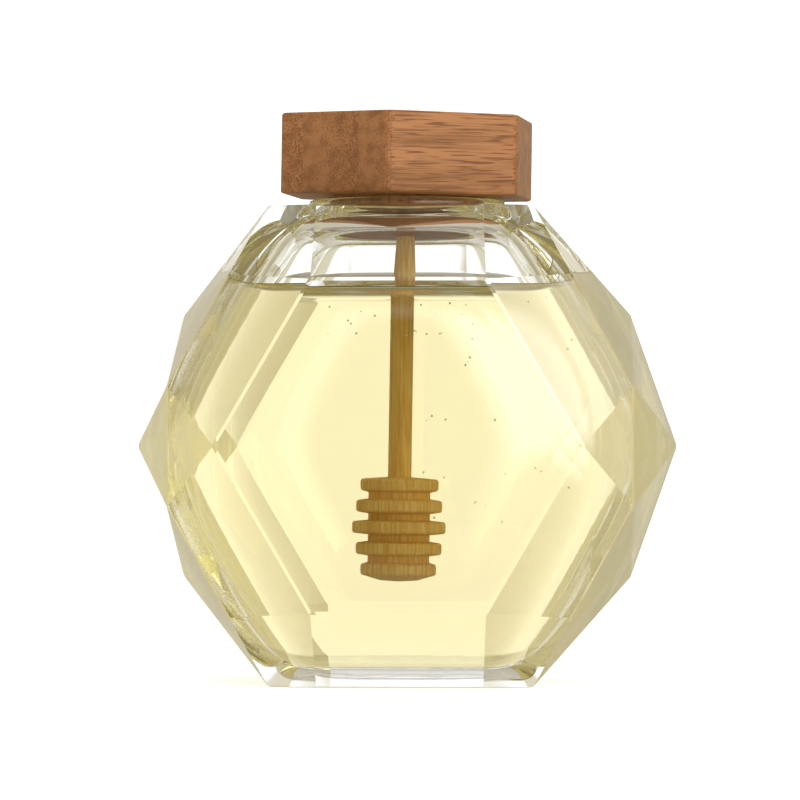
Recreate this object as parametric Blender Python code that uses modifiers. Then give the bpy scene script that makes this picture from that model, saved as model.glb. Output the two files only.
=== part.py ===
"""Faceted honey jar: a cut-glass body filled with honey, closed by a hexagonal bamboo lid
that carries a turned wooden dipper. Metres, +Z up, origin at the middle of the base."""
from itertools import product
import math

import bmesh
import bpy
from mathutils import Matrix, Vector

MM = 0.001

# Glass body, seen from the front: a large hexagon set in a ring of facets
BODY_WIDTH = 108.0 * MM
BODY_DEPTH = 78.0 * MM
BODY_HEIGHT = 94.0 * MM
WINDOW_HALF_WIDTH = 35.8 * MM
WINDOW_TOP_HALF = 17.0 * MM
WINDOW_HALF_HEIGHT = 32.3 * MM
LONG_FACET_TILT = math.radians(27.0)
SIDE_LOZENGE = Vector((45.4, 11.7)) * MM
CORNER_FACET_HEIGHT = 33.4 * MM
SIDE_KNEE = Vector((44.7, 26.2)) * MM
SHOULDER_INNER_X = 16.2 * MM
SHOULDER_OUTER_X = 25.8 * MM
SHOULDER_FRONT_Y = 32.0 * MM
FACET_EDGE_RADIUS = 0.35 * MM

# The hollow is the body's own shape, smaller and with soft edges, but its roof is higher
HOLLOW_SCALE = 0.885
HOLLOW_EDGE_RADIUS = 5.0 * MM
HOLLOW_ROOF = 91.6 * MM
BORE_RADIUS = 16.4 * MM
NECK_RADIUS = 19.6 * MM
NECK_HEIGHT = 2.1 * MM
RIM_ROUNDING = 0.7 * MM

# Honey
HONEY_LEVEL = 77.3 * MM
CLEARANCE = 0.3 * MM

# Lid: one bamboo block with a turned plug under it, seated a little askew
LID_CORNER_RADIUS = 27.3 * MM
LID_THICKNESS = 16.0 * MM
LID_UNDERSIDE = 96.7 * MM
LID_TURN = math.radians(-4.8)
LID_LEAN = math.radians(0.9)
LID_UPRIGHT_EDGE = 1.2 * MM
LID_FLAT_EDGE = 0.5 * MM
PLUG_RADIUS = 15.6 * MM
PLUG_LENGTH = 4.6 * MM
PLUG_CHAMFER = 0.6 * MM

# Dipper: heights are measured down from the underside of the lid block
STICK_RADIUS = 2.3 * MM
STICK_NECK_RADIUS = 1.8 * MM
STICK_TAPER_END = 18.0 * MM
STICK_TOP = 1.2 * MM
HEAD_TOP = 56.2 * MM
RIDGE_RADII = [radius * MM for radius in (7.7, 8.5, 9.25, 8.5, 7.5)]
RIDGE_HEIGHT = 2.4 * MM
RIDGE_PITCH = 4.2 * MM
RIDGE_ROUNDING = 0.45 * MM
GROOVE_RADIUS = 6.1 * MM
HEAD_DOME = 1.2 * MM

TURNED_STEPS = 24
ROUND_STEPS = 48


def clear_scene():
    for thing in list(bpy.data.objects):
        bpy.data.objects.remove(thing, do_unlink=True)


def new_collection(name):
    collection = bpy.data.collections.new(name)
    bpy.context.scene.collection.children.link(collection)
    return collection


def material(name, colour, roughness, transmission=0.0, ior=1.45):
    made = bpy.data.materials.new(name)
    made.use_nodes = True
    shader = made.node_tree.nodes["Principled BSDF"]
    shader.inputs["Base Color"].default_value = (*colour, 1.0)
    shader.inputs["Roughness"].default_value = roughness
    shader.inputs["Metallic"].default_value = 0.0
    shader.inputs["Transmission Weight"].default_value = transmission
    shader.inputs["IOR"].default_value = ior
    return made


def object_from(bm, name, collection, finish=None):
    mesh = bpy.data.meshes.new(name)
    bm.normal_update()
    bm.to_mesh(mesh)
    bm.free()
    thing = bpy.data.objects.new(name, mesh)
    collection.objects.link(thing)
    if finish:
        mesh.materials.append(finish)
    return thing


def as_cutter(thing):
    thing.hide_render = True
    thing.display_type = "WIRE"
    return thing


def boolean(thing, other, operation):
    cut = thing.modifiers.new(operation.title() + " " + other.name, "BOOLEAN")
    cut.object = other
    cut.operation = operation
    cut.solver = "EXACT"


def bevel(thing, width, segments, angle=math.radians(3.0)):
    edge = thing.modifiers.new("Edges", "BEVEL")
    edge.width = width
    edge.segments = segments
    edge.limit_method = "ANGLE"
    edge.angle_limit = angle
    edge.harden_normals = False


def facet_corners():
    """One corner of each kind, in the front upper right eighth, from the body's centre."""
    front = BODY_DEPTH / 2
    side_corner = Vector((WINDOW_HALF_WIDTH, -front, 0.0))
    top_corner = Vector((WINDOW_TOP_HALF, -front, WINDOW_HALF_HEIGHT))
    along_edge = (top_corner - side_corner).normalized()
    away_from_edge = Vector((along_edge.z, 0.0, -along_edge.x))

    def on_long_facet(x, z):
        outside = (Vector((x, -front, z)) - side_corner).dot(away_from_edge)
        return Vector((x, outside * math.tan(LONG_FACET_TILT) - front, z))

    half_height = BODY_HEIGHT / 2
    lozenge = on_long_facet(*SIDE_LOZENGE)
    share = (CORNER_FACET_HEIGHT - lozenge.z) / (half_height - lozenge.z)
    corner_x = lozenge.x + (SHOULDER_OUTER_X - lozenge.x) * share
    corner_start = on_long_facet(corner_x, CORNER_FACET_HEIGHT)
    shoulder_inner = Vector((SHOULDER_INNER_X, -SHOULDER_FRONT_Y, half_height))
    normal = (corner_start - top_corner).cross(shoulder_inner - top_corner)
    run_back = normal.x * (SHOULDER_OUTER_X - SHOULDER_INNER_X) / normal.y
    shoulder_outer = Vector((SHOULDER_OUTER_X, shoulder_inner.y - run_back, half_height))
    knee = Vector((SIDE_KNEE.x, 0.0, SIDE_KNEE.y))
    tip = Vector((BODY_WIDTH / 2, 0.0, 0.0))
    return [side_corner, top_corner, lozenge, corner_start, shoulder_inner, shoulder_outer, knee, tip]


def carried_up(lower, upper, height):
    """The point at a height on the line through two corners."""
    return upper + (upper - lower) * ((height - upper.z) / (upper.z - lower.z))


def faceted_solid(scale=1.0, inset=0.0, roof=None):
    """The convex body through every mirrored corner, drawn in towards its centre.

    Where a roof height is given, the upper facets run on up to it."""
    bm = bmesh.new()
    eighth = [corner * scale - corner.normalized() * inset for corner in facet_corners()]
    raised = list(eighth)
    if roof is not None:
        height = roof - BODY_HEIGHT / 2
        raised[4] = carried_up(eighth[1], eighth[4], height)
        raised[5] = carried_up(eighth[3], eighth[5], height)
    corners = set()
    for side_x, side_y in product((1, -1), repeat=2):
        for above, below in zip(raised, eighth):
            for corner in (above, below * -1.0):
                place = (corner.x * side_x, corner.y * side_y, corner.z)
                corners.add(tuple(round(value, 9) + 0.0 for value in place))
    for corner in sorted(corners):
        bm.verts.new(corner)
    bmesh.ops.convex_hull(bm, input=bm.verts)
    bmesh.ops.dissolve_limit(bm, angle_limit=math.radians(0.6), verts=bm.verts, edges=bm.edges)
    bmesh.ops.translate(bm, verts=bm.verts, vec=(0.0, 0.0, BODY_HEIGHT / 2))
    bmesh.ops.recalc_face_normals(bm, faces=bm.faces)
    return bm


def cylinder(radius, bottom, top, steps=ROUND_STEPS):
    bm = bmesh.new()
    place = Matrix.Translation((0.0, 0.0, (bottom + top) / 2))
    bmesh.ops.create_cone(bm, cap_ends=True, segments=steps, radius1=radius, radius2=radius,
                          depth=top - bottom, matrix=place)
    return bm


def turned(name, profile, collection, finish=None):
    """A turned piece: (radius, height) points run down the outer side, from axis to axis."""
    bm = bmesh.new()
    points = [bm.verts.new((radius, 0.0, height)) for radius, height in profile]
    for upper, lower in zip(points, points[1:]):
        bm.edges.new((upper, lower))
    thing = object_from(bm, name, collection, finish)
    screw = thing.modifiers.new("Turn", "SCREW")
    screw.steps = TURNED_STEPS
    screw.render_steps = TURNED_STEPS
    screw.use_merge_vertices = True
    screw.merge_threshold = 0.00001
    return thing


def dipper_profile(grow=0.0):
    """The dipper's outline below the lid, a little larger where the honey is cut round it."""
    points = [
        (0.0, -STICK_TOP),
        (STICK_NECK_RADIUS + grow, -STICK_TOP),
        (STICK_NECK_RADIUS + grow, -PLUG_LENGTH),
        (STICK_RADIUS + grow, -STICK_TAPER_END),
        (STICK_RADIUS + grow, grow - HEAD_TOP),
    ]
    for number, radius in enumerate(RIDGE_RADII):
        top = -HEAD_TOP - number * RIDGE_PITCH + grow
        bottom = -HEAD_TOP - number * RIDGE_PITCH - RIDGE_HEIGHT - grow
        if number:
            points.append((GROOVE_RADIUS + grow, top))
        points.append((radius + grow - RIDGE_ROUNDING, top))
        points.append((radius + grow, top - RIDGE_ROUNDING))
        points.append((radius + grow, bottom + RIDGE_ROUNDING))
        points.append((radius + grow - RIDGE_ROUNDING, bottom))
        if number < len(RIDGE_RADII) - 1:
            points.append((GROOVE_RADIUS + grow, bottom))
    head_bottom = points[-1][1]
    dome_radius = points[-1][0]
    points.append((dome_radius * 0.6, head_bottom - HEAD_DOME * 0.75))
    points.append((0.0, head_bottom - HEAD_DOME))
    return points


def make_glass(parts, cutters, finish):
    body = object_from(faceted_solid(), "jar_glass", parts, finish)
    bevel(body, FACET_EDGE_RADIUS, 1)

    rim_height = BODY_HEIGHT + NECK_HEIGHT
    neck_root = BODY_HEIGHT - 3.0 * MM
    neck = as_cutter(object_from(cylinder(NECK_RADIUS, neck_root, rim_height), "neck", cutters))
    bevel(neck, RIM_ROUNDING, 2, math.radians(60.0))
    boolean(body, neck, "UNION")

    hollow_bm = faceted_solid(HOLLOW_SCALE, roof=HOLLOW_ROOF)
    hollow = as_cutter(object_from(hollow_bm, "hollow", cutters))
    bevel(hollow, HOLLOW_EDGE_RADIUS, 2, math.radians(12.0))
    boolean(body, hollow, "DIFFERENCE")

    bore_bottom = BODY_HEIGHT / 2
    bore_top = rim_height + 2.0 * MM
    bore = as_cutter(object_from(cylinder(BORE_RADIUS, bore_bottom, bore_top), "bore", cutters))
    boolean(body, bore, "DIFFERENCE")
    return body


def make_honey(parts, cutters, lid_seat, finish):
    bm = faceted_solid(HOLLOW_SCALE, CLEARANCE, HOLLOW_ROOF - CLEARANCE)
    honey = object_from(bm, "honey", parts, finish)
    bevel(honey, HOLLOW_EDGE_RADIUS, 2, math.radians(12.0))

    above = cylinder(BODY_WIDTH, HONEY_LEVEL, BODY_HEIGHT * 2, 8)
    boolean(honey, as_cutter(object_from(above, "above_honey", cutters)), "DIFFERENCE")

    room = as_cutter(turned("dipper_room", dipper_profile(CLEARANCE), cutters))
    room.parent = lid_seat
    boolean(honey, room, "DIFFERENCE")
    return honey


def make_lid(parts, cutters, lid_seat, finish):
    bm = bmesh.new()
    bmesh.ops.create_cone(bm, cap_ends=True, segments=6, radius1=LID_CORNER_RADIUS,
                          radius2=LID_CORNER_RADIUS, depth=LID_THICKNESS,
                          matrix=Matrix.Translation((0.0, 0.0, LID_THICKNESS / 2)))
    upright = [edge for edge in bm.edges if abs(edge.verts[0].co.z - edge.verts[1].co.z) > MM]
    bmesh.ops.bevel(bm, geom=upright, offset=LID_UPRIGHT_EDGE, segments=3, profile=0.5,
                    affect="EDGES", material=-1)
    lid = object_from(bm, "lid", parts, finish)
    bevel(lid, LID_FLAT_EDGE, 2, math.radians(50.0))
    lid.parent = lid_seat

    plug_bm = cylinder(PLUG_RADIUS, -PLUG_LENGTH, LID_THICKNESS / 2)
    plug = as_cutter(object_from(plug_bm, "plug", cutters))
    bevel(plug, PLUG_CHAMFER, 1, math.radians(60.0))
    plug.parent = lid_seat
    boolean(lid, plug, "UNION")

    socket_bm = cylinder(STICK_NECK_RADIUS + CLEARANCE, -PLUG_LENGTH * 2, CLEARANCE - STICK_TOP, 24)
    socket = as_cutter(object_from(socket_bm, "stick_socket", cutters))
    socket.parent = lid_seat
    boolean(lid, socket, "DIFFERENCE")
    return lid


def make_lid_seat():
    """The lid's own frame: the middle of the block's underside, turned and leaning."""
    seat = bpy.data.objects.new("lid_seat", None)
    bpy.context.scene.collection.objects.link(seat)
    seat.location = (0.0, 0.0, LID_UNDERSIDE)
    seat.rotation_mode = "XYZ"
    seat.rotation_euler = (0.0, LID_LEAN, 0.0)
    return seat


def shade(thing, angle=math.radians(30.0)):
    thing.data.shade_smooth()
    thing.data.set_sharp_from_angle(angle=angle)


def main():
    clear_scene()
    parts = new_collection("honey_jar")
    cutters = new_collection("cutters")
    seat = make_lid_seat()

    glass = material("Soda-lime glass", (0.95, 0.97, 0.95), 0.02, transmission=1.0, ior=1.5)
    nectar = material("Honey", (0.90, 0.68, 0.22), 0.08, transmission=0.8, ior=1.49)
    bamboo = material("Bamboo", (0.40, 0.20, 0.08), 0.55)
    beech = material("Beech", (0.50, 0.27, 0.10), 0.6)

    make_glass(parts, cutters, glass)
    make_honey(parts, cutters, seat, nectar)
    lid = make_lid(parts, cutters, seat, bamboo)
    lid.rotation_euler = (0.0, 0.0, LID_TURN)
    dipper = turned("dipper", dipper_profile(), parts, beech)
    dipper.parent = seat
    shade(dipper)
    shade(lid)


main()
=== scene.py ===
import math
import random

import bmesh
import bpy
from mathutils import Matrix, Vector


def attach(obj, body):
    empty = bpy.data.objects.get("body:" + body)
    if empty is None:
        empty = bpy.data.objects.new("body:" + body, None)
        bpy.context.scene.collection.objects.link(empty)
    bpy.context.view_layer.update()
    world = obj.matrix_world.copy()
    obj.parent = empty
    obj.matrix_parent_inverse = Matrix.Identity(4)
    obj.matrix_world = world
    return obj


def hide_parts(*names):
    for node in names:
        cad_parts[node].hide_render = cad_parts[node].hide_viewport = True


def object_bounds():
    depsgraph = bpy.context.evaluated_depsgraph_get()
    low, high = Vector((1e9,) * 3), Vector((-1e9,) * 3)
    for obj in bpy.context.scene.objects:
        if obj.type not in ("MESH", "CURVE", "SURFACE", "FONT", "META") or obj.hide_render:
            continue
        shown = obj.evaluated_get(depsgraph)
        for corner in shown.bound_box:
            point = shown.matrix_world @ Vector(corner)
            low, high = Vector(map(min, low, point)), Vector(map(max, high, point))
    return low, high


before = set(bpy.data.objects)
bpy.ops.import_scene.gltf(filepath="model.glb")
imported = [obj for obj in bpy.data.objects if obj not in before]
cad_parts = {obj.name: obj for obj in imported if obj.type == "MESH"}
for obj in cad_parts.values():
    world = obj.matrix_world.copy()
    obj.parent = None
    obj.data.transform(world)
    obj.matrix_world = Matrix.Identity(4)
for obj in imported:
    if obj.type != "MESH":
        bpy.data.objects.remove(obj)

cad_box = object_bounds()


# The camera: a long lens a little over a metre away, level with the middle of the glass.
# It stands slightly to the right of the front face, so that face turns to the left.
MM = 0.001
PHOTO_SIZE = 800
PHOTO_BODY_CENTRE = (407.0, 446.0)
PHOTO_MM_PER_PIXEL = 0.2
CAMERA_DISTANCE = 1100.0 * MM
CAMERA_HEIGHT = 47.0 * MM
CAMERA_SWING = math.radians(2.55)
SENSOR_WIDTH = 36.0
NEAREST_SEEN = 0.05
FARTHEST_SEEN = 50.0

camera_data = bpy.data.cameras.new("camera")
camera_data.sensor_width = SENSOR_WIDTH
camera_data.lens = SENSOR_WIDTH * CAMERA_DISTANCE / (PHOTO_SIZE * PHOTO_MM_PER_PIXEL * MM)
camera_data.clip_start = NEAREST_SEEN
camera_data.clip_end = FARTHEST_SEEN
camera = bpy.data.objects.new("camera", camera_data)
bpy.context.scene.collection.objects.link(camera)
bpy.context.scene.camera = camera

to_the_right = Vector((math.cos(CAMERA_SWING), math.sin(CAMERA_SWING), 0.0))
away = Vector((-math.sin(CAMERA_SWING), math.cos(CAMERA_SWING), 0.0))
across = (PHOTO_SIZE / 2 - PHOTO_BODY_CENTRE[0]) * PHOTO_MM_PER_PIXEL * MM
upward = (PHOTO_BODY_CENTRE[1] - PHOTO_SIZE / 2) * PHOTO_MM_PER_PIXEL * MM
aim = Vector((0.0, 0.0, CAMERA_HEIGHT + upward)) + to_the_right * across
camera.location = -away * CAMERA_DISTANCE + Vector((0.0, 0.0, CAMERA_HEIGHT))
camera.rotation_euler = (aim - camera.location).to_track_quat("-Z", "Y").to_euler()


# The studio: a white paper sweep, brightest right behind the jar, with cream cards round it that
# give the cut facets their tone. A window light in front and three softboxes light the wood,
# and a dark spot round the lens keeps a grey veil off the glass.
BRIGHTEST = 1.30
BRIGHTEST_PLACE = (-0.045, 0.08)
UPRIGHT_STRETCH = 0.36
CARD_TONES = ((0.15, "#FFFFFF"), (0.21, "#CBC6B8"), (0.50, "#CEC8AF"), (0.85, "#AFA88B"))
DARK_SPOT_EDGE = (0.10, 0.30)
DARKEST_BELOW = 0.325 * BRIGHTEST
WINDOW_STRENGTH = 2.5

# Each fade: the part of the direction it follows, where it starts and ends, and its strength at
# both. A direction is a unit vector, with X to the right, Y away from the lens and Z up.
FADES = {"below": ("Z", -0.75, 0.0, DARKEST_BELOW, BRIGHTEST),
         "above": ("Z", 0.30, 0.55, 1.0, 0.72),
         "behind_jar": ("Y", -0.10, 0.0, 0.0, 1.0),
         "in_front": ("Y", -0.10, -0.40, 0.0, WINDOW_STRENGTH),
         "over_table": ("Z", -0.15, 0.05, 0.0, 1.0),
         "under_ceiling": ("Z", 0.48, 0.62, 1.0, 0.0),
         "off_left": ("X", -0.40, -0.15, 0.0, 1.0)}
CARDS_SHAPED_BY = ("below", "above", "not_lens")
WINDOW_SHAPED_BY = ("over_table", "under_ceiling", "off_left", "off_lens", "in_front")

FLOOR_RADIUS = 6.0
FLOOR_SIDES = 96
MOTTLE_WIDTH = 1 / 3
PAPER_WHITENESS = (0.84, 0.88)
PAPER_GLOW = 0.62

# Each softbox: its place, the point that it faces, its side in metres and its power in watts.
SOFTBOXES = {"right_softbox": ((1.3, -1.5, 0.5), (0.0, 0.0, 0.07), 1.8, 4.5),
             "left_softbox": ((-1.3, -1.5, 0.4), (0.0, 0.0, 0.07), 1.8, 6.5),
             "top_softbox": ((-0.2, 0.0, 1.6), (0.0, 0.0, 0.05), 1.2, 8.0)}
LONGEST_PATH = 96
LONGEST_MIRRORED_PATH = 32


def linear(hex_colour, alpha=1.0):
    """An sRGB hex colour as linear RGBA."""
    parts = [int(hex_colour[i:i + 2], 16) / 255 for i in (1, 3, 5)]
    return (*[c / 12.92 if c <= 0.04045 else ((c + 0.055) / 1.055) ** 2.4 for c in parts], alpha)


def add_node(tree, kind, links=None, inputs=None, **settings):
    """Adds a node, sets its properties and sockets, and links other nodes' outputs to it."""
    node = tree.nodes.new(kind)
    for name, value in settings.items():
        setattr(node, name, value)
    for name, value in (inputs or {}).items():
        node.inputs[name].default_value = value
    for name, (source, output) in (links or {}).items():
        tree.links.new(source.outputs[output], node.inputs[name])
    return node


def empty_material(name):
    """A material with its node tree cleared down to the output."""
    made = bpy.data.materials.new(name)
    made.use_nodes = True
    made.node_tree.nodes.clear()
    output = made.node_tree.nodes.new("ShaderNodeOutputMaterial")
    return made, made.node_tree, output


world = bpy.data.worlds.new("studio")
bpy.context.scene.world = world
world.use_nodes = True
sky = world.node_tree
sky.nodes.clear()
looked_along = add_node(sky, "ShaderNodeTexCoord")
split = add_node(sky, "ShaderNodeSeparateXYZ", {"Vector": (looked_along, "Generated")})
centred = add_node(sky, "ShaderNodeMapping", {"Vector": (looked_along, "Generated")},
                   {"Location": (-BRIGHTEST_PLACE[0], 0.0, -BRIGHTEST_PLACE[1] * UPRIGHT_STRETCH),
                    "Scale": (1.0, 0.0, UPRIGHT_STRETCH)})
distance = add_node(sky, "ShaderNodeVectorMath", {0: (centred, "Vector")}, operation="LENGTH")
card_colour = add_node(sky, "ShaderNodeValToRGB", {"Fac": (distance, "Value")})
for position, colour in CARD_TONES[1:-1]:
    card_colour.color_ramp.elements.new(position)
for stop, (position, colour) in zip(card_colour.color_ramp.elements, CARD_TONES):
    stop.position = position
    stop.color = linear(colour)

fades = {}
for name, (axis, start, end, first, last) in FADES.items():
    fades[name] = add_node(sky, "ShaderNodeMapRange", {"Value": (split, axis)},
                           {"From Min": start, "From Max": end, "To Min": first, "To Max": last})
fades["off_lens"] = add_node(sky, "ShaderNodeMapRange", {"Value": (distance, "Value")},
                             {"From Min": DARK_SPOT_EDGE[0], "From Max": DARK_SPOT_EDGE[1]})
fades["not_lens"] = add_node(sky, "ShaderNodeMath",
                             {0: (fades["behind_jar"], "Result"), 1: (fades["off_lens"], "Result")},
                             operation="MAXIMUM")
strengths = []
for shaped_by in (CARDS_SHAPED_BY, WINDOW_SHAPED_BY):
    product = fades[shaped_by[0]]
    for name in shaped_by[1:]:
        product = add_node(sky, "ShaderNodeMath", {0: (product, 0), 1: (fades[name], 0)},
                           operation="MULTIPLY")
    strengths.append(product)
card_strength, window_strength = strengths
card_light = add_node(sky, "ShaderNodeBackground",
                      {"Color": (card_colour, "Color"), "Strength": (card_strength, "Value")})
window_light = add_node(sky, "ShaderNodeBackground", {"Strength": (window_strength, "Value")},
                        {"Color": linear("#FFFFFF")})
both_lights = add_node(sky, "ShaderNodeAddShader",
                       {0: (card_light, "Background"), 1: (window_light, "Background")})
add_node(sky, "ShaderNodeOutputWorld", {"Surface": (both_lights, "Shader")})

floor_bm = bmesh.new()
bmesh.ops.create_circle(floor_bm, cap_ends=True, segments=FLOOR_SIDES, radius=FLOOR_RADIUS)
floor_mesh = bpy.data.meshes.new("floor")
floor_bm.to_mesh(floor_mesh)
floor_bm.free()
floor = bpy.data.objects.new("floor", floor_mesh)
bpy.context.scene.collection.objects.link(floor)
floor.visible_transmission = False
floor.visible_glossy = False

# White paper: matt and faintly uneven over a third of a metre. It glows a little, like paper on
# a light table, so it stays white to the edge of the picture with a soft shade under the jar.
paper, tree, output = empty_material("White paper sweep")
mottle = add_node(tree, "ShaderNodeTexNoise", inputs={"Scale": 1 / MOTTLE_WIDTH, "Detail": 2.0})
tone = add_node(tree, "ShaderNodeMapRange", {"Value": (mottle, "Fac")},
                {"To Min": PAPER_WHITENESS[0], "To Max": PAPER_WHITENESS[1]})
white = add_node(tree, "ShaderNodeCombineColor",
                 {"Red": (tone, "Result"), "Green": (tone, "Result"), "Blue": (tone, "Result")})
surface = add_node(tree, "ShaderNodeBsdfPrincipled", {"Base Color": (white, "Color")},
                   {"Roughness": 0.9, "Emission Color": linear("#FFFFFF"),
                    "Emission Strength": PAPER_GLOW})
tree.links.new(surface.outputs["BSDF"], output.inputs["Surface"])
floor_mesh.materials.append(paper)

for name, (stands_at, faces, side, power) in SOFTBOXES.items():
    data = bpy.data.lights.new(name, "AREA")
    data.shape = "SQUARE"
    data.size = side
    data.energy = power
    lamp = bpy.data.objects.new(name, data)
    lamp.location = stands_at
    lamp.rotation_euler = (Vector(faces) - Vector(stands_at)).to_track_quat("-Z", "Y").to_euler()
    lamp.visible_glossy = False
    lamp.visible_transmission = False
    bpy.context.scene.collection.objects.link(lamp)

# Light crosses many facets on its way to the wood in the honey. So its paths are long, they go
# on through glass as light, and neither their brightness nor their sharpness is cut.
bpy.context.scene.view_settings.view_transform = "Standard"
bpy.context.scene.cycles.max_bounces = LONGEST_PATH
bpy.context.scene.cycles.transmission_bounces = LONGEST_PATH
bpy.context.scene.cycles.glossy_bounces = LONGEST_MIRRORED_PATH
bpy.context.scene.cycles.caustics_refractive = True
bpy.context.scene.cycles.caustics_reflective = True
bpy.context.scene.cycles.sample_clamp_indirect = 0.0
bpy.context.scene.cycles.blur_glossy = 0.0


# The jar: pressed and fire-polished soda-lime glass. Outside are flat cut facets with slightly
# rounded edges and a short round neck. The hollow follows them softly, under a higher roof.
BODY_TOP = 94.0 * MM
BODY_CENTRE = Vector((0.0, 0.0, BODY_TOP / 2))
BODY_REACH = 120.0 * MM
FACET_AREA_AT_LEAST = 12.0 * MM * MM
FLAT_WITHIN = math.radians(0.3)
SAME_CORNER = 0.002 * MM
ABOVE_BODY = 0.01 * MM
EDGE_ROUNDING = 0.6 * MM
EDGE_STEPS = 3
HEEL_ROUNDING = 1.5 * MM
HEEL_STEPS = 6
HEEL_HEIGHT = 0.1 * MM
TIP_INSET = 0.01 * MM
HOLLOW_SCALE = 0.885
HOLLOW_SOFTNESS = 36.0
HOLLOW_ROOF = 91.6 * MM
FACES_UP = 0.99
BORE_RADIUS = 16.4 * MM
BORE_SEARCH = (math.radians(5.0), math.radians(40.0))
BORE_SEARCH_STEPS = 30
ROUND_STEPS = 192
HOLLOW_ROWS = 110

# The neck ring's radii and heights in millimetres: foot, wall, rounded rim and bore.
NECK_PROFILE = ((20.5, 94.0), (20.0, 94.12), (19.7, 94.5), (19.6, 95.0),
                (19.6, 95.4), (19.45, 95.8), (19.1, 96.02), (18.6, 96.1),
                (17.2, 96.1), (16.75, 96.0), (16.5, 95.75), (16.4, 95.4), (16.4, 94.3))

GLASS_IOR = 1.52
GLASS_TINT = "#EFEFDC"
GLASS_TINT_DENSITY = 3.0
WAVE_WIDTH = 11.0 * MM
WAVE_DEPTH = 0.1 * MM
WAVE_STRENGTH = 0.05


def finished_piece(bm, name, finish):
    """Makes the mesh an object of the whole model, at the origin, that rides on the jar."""
    mesh = bpy.data.meshes.new(name)
    bm.to_mesh(mesh)
    bm.free()
    mesh.materials.append(finish)
    piece = bpy.data.objects.new(name, mesh)
    bpy.context.scene.collection.objects.link(piece)
    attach(piece, "root")
    return piece


def outer_facets():
    """The planes of the jar's cut facets: a point and a normal of each, read from the solid."""
    hull = bmesh.new()
    hull.from_mesh(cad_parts["jar_glass"].data)
    bmesh.ops.remove_doubles(hull, verts=hull.verts, dist=SAME_CORNER)
    neck = [corner for corner in hull.verts if corner.co.z > BODY_TOP + ABOVE_BODY]
    bmesh.ops.delete(hull, geom=neck, context="VERTS")
    bmesh.ops.delete(hull, geom=hull.faces[:], context="FACES_ONLY")
    bmesh.ops.convex_hull(hull, input=hull.verts)
    bmesh.ops.dissolve_limit(hull, angle_limit=FLAT_WITHIN, verts=hull.verts, edges=hull.edges)
    hull.normal_update()
    planes = [(face.calc_center_median(), face.normal.copy()) for face in hull.faces
              if face.calc_area() > FACET_AREA_AT_LEAST]
    hull.free()
    return planes


def cut_off(bm, on_plane, outwards):
    """Cuts away what lies outside a plane and returns the edges round the cut."""
    cut = bmesh.ops.bisect_plane(bm, geom=bm.verts[:] + bm.edges[:] + bm.faces[:],
                                 plane_co=on_plane, plane_no=outwards, clear_outer=True)
    return [part for part in cut["geom_cut"] if isinstance(part, bmesh.types.BMEdge)]


def round_edges(bm, edges, width, steps):
    """Rounds edges over a width on both sides."""
    bmesh.ops.bevel(bm, geom=edges, offset=width, segments=steps, profile=0.5,
                    affect="EDGES", clamp_overlap=True, material=-1)


def heading(lean, turn):
    """The unit vector that leans away from straight up, turned round the jar's axis."""
    return Vector((math.sin(lean) * math.cos(turn), math.sin(lean) * math.sin(turn), math.cos(lean)))


def reach_inside(towards):
    """How far the hollow reaches from the body's centre in a direction, with soft edges."""
    total = 0.0
    for normal, plane_distance in hollow_planes:
        along = normal.dot(towards) / plane_distance
        if along > 0.0:
            total += along ** HOLLOW_SOFTNESS
    return total ** (-1.0 / HOLLOW_SOFTNESS)


def hollow_rings(extra=0.0):
    """Rings of points down the hollow's wall, from the bore to just above the lowest point."""
    columns = []
    for step in range(ROUND_STEPS):
        turn = math.tau * step / ROUND_STEPS
        low, high = BORE_SEARCH
        for attempt in range(BORE_SEARCH_STEPS):
            middle = (low + high) / 2
            if reach_inside(heading(middle, turn)) * math.sin(middle) < BORE_RADIUS:
                low = middle
            else:
                high = middle
        column = []
        for row in range(HOLLOW_ROWS):
            towards = heading(low + (math.pi - low) * row / HOLLOW_ROWS, turn)
            column.append(BODY_CENTRE + towards * (reach_inside(towards) + extra))
        columns.append(column)
    return [[column[row] for column in columns] for row in range(HOLLOW_ROWS)]


def skin(bm, rings):
    """Joins rings of points, each with the next, and returns the first and last ring's corners."""
    rows = [[bm.verts.new(point) for point in ring] for ring in rings]
    for upper, lower in zip(rows, rows[1:]):
        for step in range(ROUND_STEPS):
            after = (step + 1) % ROUND_STEPS
            face = bm.faces.new((upper[step], upper[after], lower[after], lower[step]))
            face.smooth = True
    return rows[0], rows[-1]


def close_at(bm, ring, point):
    """Closes a ring of corners to one point."""
    tip = bm.verts.new(point)
    for step in range(ROUND_STEPS):
        face = bm.faces.new((ring[step], ring[(step + 1) % ROUND_STEPS], tip))
        face.smooth = True


facets = outer_facets()
hollow_planes = [(normal, (on_face - BODY_CENTRE).dot(normal) * HOLLOW_SCALE)
                 for on_face, normal in facets if normal.z < FACES_UP]
hollow_planes.append((Vector((0.0, 0.0, 1.0)), HOLLOW_ROOF - BODY_CENTRE.z))
hollow_bottom = BODY_CENTRE - Vector((0.0, 0.0, reach_inside(Vector((0.0, 0.0, -1.0)))))

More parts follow.
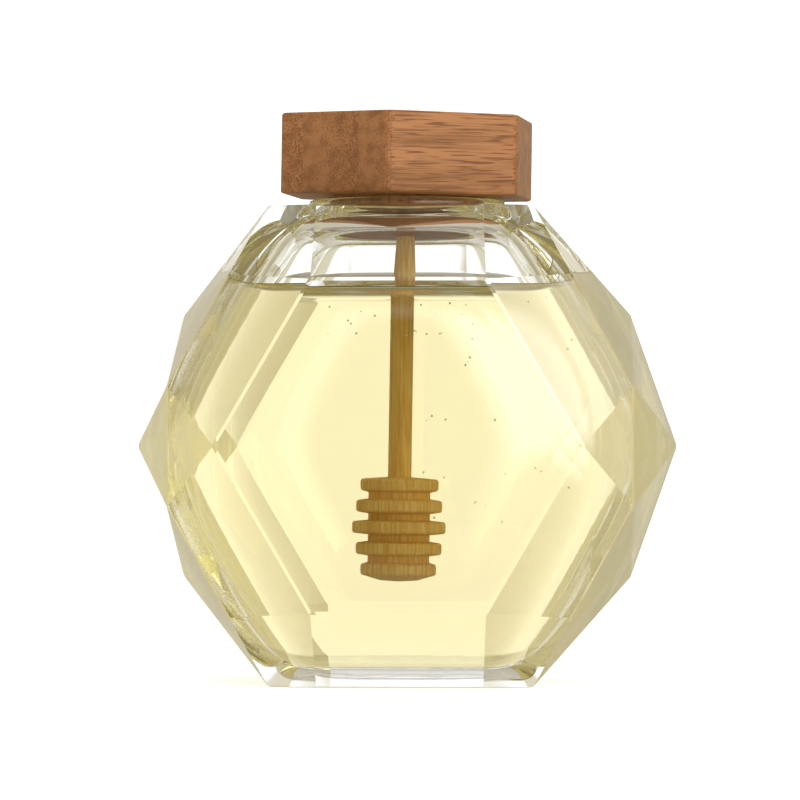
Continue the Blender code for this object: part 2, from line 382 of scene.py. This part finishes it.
# Fire-polished soda-lime glass: clear and sharp, with slow waves about a centimetre wide that
# bend the view a little, and a faint straw tint where it is thick.
glass, tree, output = empty_material("Fire-polished soda-lime glass")
place = add_node(tree, "ShaderNodeTexCoord")
waves = add_node(tree, "ShaderNodeTexNoise", {"Vector": (place, "Object")},
                 {"Scale": 1 / WAVE_WIDTH, "Detail": 1.0, "Roughness": 0.3})
uneven = add_node(tree, "ShaderNodeBump", {"Height": (waves, "Fac")},
                  {"Strength": WAVE_STRENGTH, "Distance": WAVE_DEPTH})
surface = add_node(tree, "ShaderNodeBsdfPrincipled", {"Normal": (uneven, "Normal")},
                   {"Base Color": linear("#FFFFFF"), "Roughness": 0.0,
                    "Transmission Weight": 1.0, "IOR": GLASS_IOR})
tree.links.new(surface.outputs["BSDF"], output.inputs["Surface"])
depth_tint = add_node(tree, "ShaderNodeVolumeAbsorption",
                      inputs={"Color": linear(GLASS_TINT), "Density": GLASS_TINT_DENSITY})
tree.links.new(depth_tint.outputs["Volume"], output.inputs["Volume"])

jar_bm = bmesh.new()
bmesh.ops.create_cube(jar_bm, size=2 * BODY_REACH)
for on_face, normal in facets:
    rim = cut_off(jar_bm, on_face, normal)
    if rim:
        bmesh.ops.contextual_create(jar_bm, geom=rim)
heel = [edge for edge in jar_bm.edges if max(corner.co.z for corner in edge.verts) < HEEL_HEIGHT]
others = [edge for edge in jar_bm.edges if edge not in heel]
round_edges(jar_bm, heel, HEEL_ROUNDING, HEEL_STEPS)
round_edges(jar_bm, [edge for edge in others if edge.is_valid], EDGE_ROUNDING, EDGE_STEPS)

# The side corners are trimmed to the solid's own rounded ones.
for side, reach in zip((-1.0, 1.0), (cad_box[0][0], cad_box[1][0])):
    rim = cut_off(jar_bm, (reach - side * TIP_INSET, 0.0, 0.0), (side, 0.0, 0.0))
    bmesh.ops.contextual_create(jar_bm, geom=rim)
jar_bm.normal_update()
for face in jar_bm.faces:
    face.smooth = face.calc_area() < FACET_AREA_AT_LEAST
top_face = max(jar_bm.faces, key=lambda face: face.calc_center_median().z * face.calc_area())
top_rim = list(top_face.edges)
bmesh.ops.delete(jar_bm, geom=[top_face], context="FACES_ONLY")
neck_rings = [[Vector((radius * MM * math.cos(math.tau * step / ROUND_STEPS),
                       radius * MM * math.sin(math.tau * step / ROUND_STEPS), height * MM))
               for step in range(ROUND_STEPS)] for radius, height in NECK_PROFILE]
neck_foot, lowest = skin(jar_bm, neck_rings + hollow_rings())
close_at(jar_bm, lowest, hollow_bottom)
foot_edges = [jar_bm.edges.get((corner, neck_foot[step - 1])) for step, corner in enumerate(neck_foot)]
bmesh.ops.triangle_fill(jar_bm, edges=top_rim + foot_edges, use_beauty=True)
bmesh.ops.recalc_face_normals(jar_bm, faces=jar_bm.faces)
jar = finished_piece(jar_bm, "jar_glass_polished", glass)
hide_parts("jar_glass")


# The dipper: turned from one piece of beech, a thin stick and a head with five rounded
# ridges. It is glued into the plug, so it leans with the lid.
LID_UNDERSIDE = 96.7 * MM
LID_LEAN = math.radians(0.9)
PLUG_LENGTH = 4.6 * MM
STICK_TOP = 1.0 * MM
STICK_NECK_RADIUS = 1.8 * MM
STICK_RADIUS = 2.3 * MM
STICK_TAPER_END = 18.0 * MM
STICK_SPREAD = 0.4 * MM
HEAD_TOP = 56.2 * MM
RIDGE_RADII = (7.7, 8.5, 9.25, 8.5, 7.5)
RIDGE_HEIGHT = 2.4 * MM
RIDGE_PITCH = 4.2 * MM
RIDGE_ROUNDING = 0.6 * MM
ROUNDING_STEPS = 4
GROOVE_RADIUS = 6.1 * MM
GROOVE_EDGES = (0.15, 0.85)
HEAD_DOME = 1.2 * MM
DOME_SHOULDER_RADIUS = 0.5
DOME_SHOULDER_DROP = 0.8
TURNED_STEPS = 64
AXIS_MERGE = 0.001 * MM
GRAIN_WIDTH = 0.5 * MM
GRAIN_LENGTH = 9.0 * MM
BEECH_SHADES = ((0.35, "#E6BC80"), (0.65, "#FADCA8"))
SHARP_EDGE = math.radians(40.0)

# Turned beech: pale, dry and dull, with short grain lines down the stick. Its real lines are
# under a tenth of a millimetre wide and are drawn half a millimetre wide, so that they show.
beech, tree, output = empty_material("Turned beech")
place = add_node(tree, "ShaderNodeTexCoord")
stretch = add_node(tree, "ShaderNodeMapping", {"Vector": (place, "Object")},
                   {"Scale": (1 / GRAIN_WIDTH, 1 / GRAIN_WIDTH, 1 / GRAIN_LENGTH)})
grain = add_node(tree, "ShaderNodeTexNoise", {"Vector": (stretch, "Vector")},
                 {"Scale": 1.0, "Detail": 2.0})
shade = add_node(tree, "ShaderNodeValToRGB", {"Fac": (grain, "Fac")})
for stop, (position, colour) in zip(shade.color_ramp.elements, BEECH_SHADES):
    stop.position = position
    stop.color = linear(colour)
surface = add_node(tree, "ShaderNodeBsdfPrincipled", {"Base Color": (shade, "Color")},
                   {"Roughness": 0.6, "IOR": 1.5, "Specular IOR Level": 0.1})
tree.links.new(surface.outputs["BSDF"], output.inputs["Surface"])

profile = [(0.0, -STICK_TOP), (STICK_NECK_RADIUS, -STICK_TOP), (STICK_NECK_RADIUS, -PLUG_LENGTH),
           (STICK_RADIUS, -STICK_TAPER_END), (STICK_RADIUS, -HEAD_TOP + STICK_SPREAD)]
for number, ridge_radius in enumerate(RIDGE_RADII):
    radius = ridge_radius * MM
    ridge_top = -HEAD_TOP - number * RIDGE_PITCH
    ridge_bottom = ridge_top - RIDGE_HEIGHT
    for start, arc_height in ((90.0, ridge_top - RIDGE_ROUNDING), (0.0, ridge_bottom + RIDGE_ROUNDING)):
        for step in range(ROUNDING_STEPS + 1):
            turn = math.radians(start - 90.0 * step / ROUNDING_STEPS)
            profile.append((radius - RIDGE_ROUNDING + RIDGE_ROUNDING * math.cos(turn),
                            arc_height + RIDGE_ROUNDING * math.sin(turn)))
    if number < len(RIDGE_RADII) - 1:
        for share in GROOVE_EDGES:
            profile.append((GROOVE_RADIUS, ridge_bottom - (RIDGE_PITCH - RIDGE_HEIGHT) * share))
head_bottom = -HEAD_TOP - (len(RIDGE_RADII) - 1) * RIDGE_PITCH - RIDGE_HEIGHT
profile.append((RIDGE_RADII[-1] * MM * DOME_SHOULDER_RADIUS,
                head_bottom - HEAD_DOME * DOME_SHOULDER_DROP))
profile.append((0.0, head_bottom - HEAD_DOME))

dipper_bm = bmesh.new()
outline = [dipper_bm.verts.new((radius, 0.0, height)) for radius, height in profile]
for upper, lower in zip(outline, outline[1:]):
    dipper_bm.edges.new((upper, lower))
bmesh.ops.spin(dipper_bm, geom=dipper_bm.verts[:] + dipper_bm.edges[:], axis=(0.0, 0.0, 1.0),
               cent=(0.0, 0.0, 0.0), angle=math.tau, steps=TURNED_STEPS, use_merge=True)
bmesh.ops.remove_doubles(dipper_bm, verts=dipper_bm.verts, dist=AXIS_MERGE)
bmesh.ops.recalc_face_normals(dipper_bm, faces=dipper_bm.faces)
hung_from_lid = Matrix.Translation((0.0, 0.0, LID_UNDERSIDE)) @ Matrix.Rotation(LID_LEAN, 4, "Y")
bmesh.ops.transform(dipper_bm, verts=dipper_bm.verts, matrix=hung_from_lid)
for face in dipper_bm.faces:
    face.smooth = True
dipper = finished_piece(dipper_bm, "dipper_turned", beech)
dipper.data.set_sharp_from_angle(angle=SHARP_EDGE)
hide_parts("dipper")


# The honey: a clear pale syrup that fills the hollow to just above the front facet's top edge.
# It wets glass and wood, so its edge climbs both a little. A few small bubbles hang in it.
HONEY_LEVEL = 76.1 * MM
INTO_WALL = 0.2 * MM
COLLAR_STEPS = 48
SHORTEST_EDGE = 0.01 * MM

# How the surface climbs, in millimetres: steps inwards from the wall, each with its height, and
# steps outwards from the stick, with theirs.
WALL_MENISCUS = ((0.25, 0.30), (0.75, 0.60), (1.4, 0.58), (2.4, 0.44))
STICK_MENISCUS = ((0.35, 0.55), (0.45, 0.30), (0.7, 0.15))

# Where bubbles hang, in millimetres: how many, and the ranges of their X, Y and Z. The first
# group is under the surface, and the second is beside the stick.
BUBBLE_GROUPS = ((22, ((-16.0, 28.0), (-26.0, -8.0), (68.5, 76.2))),
                 (24, ((3.5, 31.0), (-27.0, 12.0), (32.0, 70.0))))
BUBBLE_RADII = (0.10, 0.24)
BUBBLE_SEED = 7

HONEY_IOR = 1.49
HONEY_TINT = "#FDF086"
HONEY_TINT_DENSITY = 12.0
STREAK_WIDTH = 14.0 * MM
STREAK_DEPTH = 0.1 * MM
STREAK_STRENGTH = 0.03


def drawn_in(bm, ring, inset, rise):
    """Extrudes a ring of edges, moves the new one towards the middle and up, and returns it."""
    grown = bmesh.ops.extrude_edge_only(bm, edges=ring)["geom"]
    corners = [part for part in grown if isinstance(part, bmesh.types.BMVert)]
    middle = sum((corner.co for corner in corners), Vector()) / len(corners)
    for corner in corners:
        towards = Vector((middle.x - corner.co.x, middle.y - corner.co.y, 0.0)).normalized()
        corner.co += towards * inset + Vector((0.0, 0.0, rise))
    return [part for part in grown if isinstance(part, bmesh.types.BMEdge)]


# Acacia honey: clear, nearly white where it is thin and golden where it is deep, with slow
# streaks over a centimetre wide that bend the view a little.
honey, tree, output = empty_material("Acacia honey")
place = add_node(tree, "ShaderNodeTexCoord")
streaks = add_node(tree, "ShaderNodeTexNoise", {"Vector": (place, "Object")},
                   {"Scale": 1 / STREAK_WIDTH, "Detail": 1.0})
soft = add_node(tree, "ShaderNodeBump", {"Height": (streaks, "Fac")},
                {"Strength": STREAK_STRENGTH, "Distance": STREAK_DEPTH})
surface = add_node(tree, "ShaderNodeBsdfPrincipled", {"Normal": (soft, "Normal")},
                   {"Base Color": linear("#FFFFFF"), "Roughness": 0.0,
                    "Transmission Weight": 1.0, "IOR": HONEY_IOR, "Specular IOR Level": 0.0})
tree.links.new(surface.outputs["BSDF"], output.inputs["Surface"])
depth_tint = add_node(tree, "ShaderNodeVolumeAbsorption",
                      inputs={"Color": linear(HONEY_TINT), "Density": HONEY_TINT_DENSITY})
tree.links.new(depth_tint.outputs["Volume"], output.inputs["Volume"])

honey_bm = bmesh.new()
first, lowest = skin(honey_bm, hollow_rings(INTO_WALL))
close_at(honey_bm, lowest, hollow_bottom - Vector((0.0, 0.0, INTO_WALL)))
climb = sum(height for inset, height in WALL_MENISCUS) * MM
cut_off(honey_bm, (0.0, 0.0, HONEY_LEVEL + climb), (0.0, 0.0, 1.0))
bmesh.ops.remove_doubles(honey_bm, verts=honey_bm.verts, dist=SHORTEST_EDGE)
rim = [edge for edge in honey_bm.edges if edge.is_boundary]
for inset, height in WALL_MENISCUS:
    rim = drawn_in(honey_bm, rim, inset * MM, -height * MM)
stick_at_level = Vector(((HONEY_LEVEL - LID_UNDERSIDE) * math.sin(LID_LEAN), 0.0, HONEY_LEVEL))
collar_radius = STICK_RADIUS + sum(inset for inset, height in STICK_MENISCUS) * MM
circle = bmesh.ops.create_circle(honey_bm, segments=COLLAR_STEPS, radius=collar_radius,
                                 matrix=Matrix.Translation(stick_at_level))
collar = list(dict.fromkeys(edge for corner in circle["verts"] for edge in corner.link_edges))
level = bmesh.ops.triangle_fill(honey_bm, edges=rim + collar, use_beauty=True)["geom"]
level = [part for part in level if isinstance(part, bmesh.types.BMFace)]
for inset, height in reversed(STICK_MENISCUS):
    collar = drawn_in(honey_bm, collar, inset * MM, height * MM)
collar = drawn_in(honey_bm, collar, INTO_WALL, 0.0)
bmesh.ops.contextual_create(honey_bm, geom=collar)
bmesh.ops.recalc_face_normals(honey_bm, faces=honey_bm.faces)
for face in honey_bm.faces:
    face.smooth = True
for face in level:
    face.smooth = False

chance = random.Random(BUBBLE_SEED)
for count, ranges in BUBBLE_GROUPS:
    for number in range(count):
        spot = Vector([chance.uniform(low, high) for low, high in ranges])
        radius = chance.uniform(*BUBBLE_RADII) * MM
        bubble = bmesh.ops.create_icosphere(honey_bm, subdivisions=2, radius=radius,
                                            matrix=Matrix.Translation(spot * MM))
        shell = list(dict.fromkeys(face for corner in bubble["verts"] for face in corner.link_faces))
        for face in shell:
            face.smooth = True
        bmesh.ops.reverse_faces(honey_bm, faces=shell)
honey_fill = finished_piece(honey_bm, "honey_fill", honey)
honey_fill.data.set_sharp_from_angle(angle=SHARP_EDGE)
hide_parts("honey")


# The lid: a hexagonal block milled from carbonised bamboo board, with a round plug below. The
# board is glued from strips: fibres lie along the right front face and end on the others.
GRAIN_TURN = math.radians(25.2)

# The pattern's lengths are in millimetres: the strips first, and then three noises that are
# stretched along the fibres, each with its length, width and detail.
STRIP_WIDTH = 12.0
STRIP_OFFSET = 5.0
STRIP_SHIFT = 7.3
STRIP_TONES = (0.86, 1.06)
STRETCHED_NOISES = {"bundles": (7.0, 0.36, 1.5),
                    "fibres": (16.0, 0.16, 2.0),
                    "clouds": (22.0, 2.5, 1.0)}
BUNDLE_EDGE = (0.56, 0.68)
BUNDLE_CROWDING = (0.10, -0.04)
BUNDLE_COLOUR = "#724526"
GROUND_GAIN = 0.92
GROUND_SHADES = ((0.72, "#87582F"), (1.0, "#A97347"))
END_GRAIN_FROM = 0.2
END_GRAIN_FULL = 0.9
END_GRAIN_TONE = 0.80
SHEEN_ROUGHNESS = (0.45, 0.62)
BUNDLE_RELIEF = 0.05 * MM
RELIEF_STRENGTH = 0.25

# Carbonised bamboo: caramel brown with a satin face. Dark vessel bundles of their real size are
# streaks along the fibres and specks on the ends. The fibres between them are really about
# 0.02 mm thick and are drawn eight times as thick, so that they show.
bamboo, tree, output = empty_material("Carbonised bamboo")
place = add_node(tree, "ShaderNodeTexCoord")
turned = add_node(tree, "ShaderNodeMapping", {"Vector": (place, "Object")},
                  {"Rotation": (0.0, 0.0, -GRAIN_TURN), "Scale": (1 / MM, 1 / MM, 1 / MM)})
split = add_node(tree, "ShaderNodeSeparateXYZ", {"Vector": (turned, "Vector")})
shifted = add_node(tree, "ShaderNodeMath", {0: (split, "Y")}, {1: STRIP_OFFSET}, operation="ADD")
strips = add_node(tree, "ShaderNodeMath", {0: (shifted, "Value")}, {1: STRIP_WIDTH}, operation="DIVIDE")
strip_number = add_node(tree, "ShaderNodeMath", {0: (strips, "Value")}, operation="FLOOR")
across_strip = add_node(tree, "ShaderNodeMath", {0: (strips, "Value")}, operation="FRACT")
strip_tone = add_node(tree, "ShaderNodeTexWhiteNoise", {"W": (strip_number, "Value")},
                      noise_dimensions="1D")
strip_shift = add_node(tree, "ShaderNodeMath", {0: (strip_number, "Value")}, {1: STRIP_SHIFT},
                       operation="MULTIPLY")
moved = add_node(tree, "ShaderNodeCombineXYZ",
                 {"X": (strip_shift, "Value"), "Z": (strip_shift, "Value")})
own_place = add_node(tree, "ShaderNodeVectorMath", {0: (turned, "Vector"), 1: (moved, "Vector")},
                     operation="ADD")
noises = {}
for name, (length, width, detail) in STRETCHED_NOISES.items():
    stretched = add_node(tree, "ShaderNodeMapping", {"Vector": (own_place, "Vector")},
                         {"Scale": (1 / length, 1 / width, 1 / width)})
    noises[name] = add_node(tree, "ShaderNodeTexNoise", {"Vector": (stretched, "Vector")},
                            {"Scale": 1.0, "Detail": detail})

crowding = add_node(tree, "ShaderNodeMapRange", {"Value": (across_strip, "Value")},
                    {"To Min": BUNDLE_CROWDING[0], "To Max": BUNDLE_CROWDING[1]})
crowded = add_node(tree, "ShaderNodeMath", {0: (noises["bundles"], "Fac"), 1: (crowding, "Result")},
                   operation="ADD")
bundle_mask = add_node(tree, "ShaderNodeMapRange", {"Value": (crowded, "Value")},
                       {"From Min": BUNDLE_EDGE[0], "From Max": BUNDLE_EDGE[1]})
ground_mix = add_node(tree, "ShaderNodeMath",
                      {0: (noises["fibres"], "Fac"), 1: (noises["clouds"], "Fac")}, operation="ADD")
ground_range = add_node(tree, "ShaderNodeMath", {0: (ground_mix, "Value")}, {1: GROUND_GAIN},
                        operation="MULTIPLY")
ground = add_node(tree, "ShaderNodeValToRGB", {"Fac": (ground_range, "Value")})
for stop, (position, colour) in zip(ground.color_ramp.elements, GROUND_SHADES):
    stop.position = position
    stop.color = linear(colour)
strip_dark = add_node(tree, "ShaderNodeMapRange", {"Value": (strip_tone, "Value")},
                      {"To Min": STRIP_TONES[0], "To Max": STRIP_TONES[1]})
toned = add_node(tree, "ShaderNodeVectorMath", {0: (ground, "Color"), "Scale": (strip_dark, "Result")},
                 operation="SCALE")
along_fibres = (math.cos(GRAIN_TURN), math.sin(GRAIN_TURN), 0.0)
end_direction = add_node(tree, "ShaderNodeVectorMath", {0: (place, "Normal")}, {1: along_fibres},
                         operation="DOT_PRODUCT")
end_grain = add_node(tree, "ShaderNodeMath", {0: (end_direction, "Value")}, operation="ABSOLUTE")
end_dark = add_node(tree, "ShaderNodeMapRange", {"Value": (end_grain, "Value")},
                    {"From Min": END_GRAIN_FROM, "From Max": END_GRAIN_FULL,
                     "To Min": 1.0, "To Max": END_GRAIN_TONE})
aged = add_node(tree, "ShaderNodeVectorMath", {0: (toned, "Vector"), "Scale": (end_dark, "Result")},
                operation="SCALE")

# A Mix node has several sockets with the same name, so its colours go by number: 6, 7 and out 2.
specked = add_node(tree, "ShaderNodeMix", {"Factor": (bundle_mask, "Result"), 6: (aged, "Vector")},
                   {7: linear(BUNDLE_COLOUR)}, data_type="RGBA")
relief = add_node(tree, "ShaderNodeBump", {"Height": (noises["bundles"], "Fac")},
                  {"Strength": RELIEF_STRENGTH, "Distance": BUNDLE_RELIEF})
sheen = add_node(tree, "ShaderNodeMapRange", {"Value": (noises["fibres"], "Fac")},
                 {"To Min": SHEEN_ROUGHNESS[0], "To Max": SHEEN_ROUGHNESS[1]})
surface = add_node(tree, "ShaderNodeBsdfPrincipled",
                   {"Base Color": (specked, 2), "Roughness": (sheen, "Result"),
                    "Normal": (relief, "Normal")},
                   {"IOR": 1.5, "Specular IOR Level": 0.3})
tree.links.new(surface.outputs["BSDF"], output.inputs["Surface"])
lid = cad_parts["lid"]
lid.data.materials.clear()
lid.data.materials.append(bamboo)
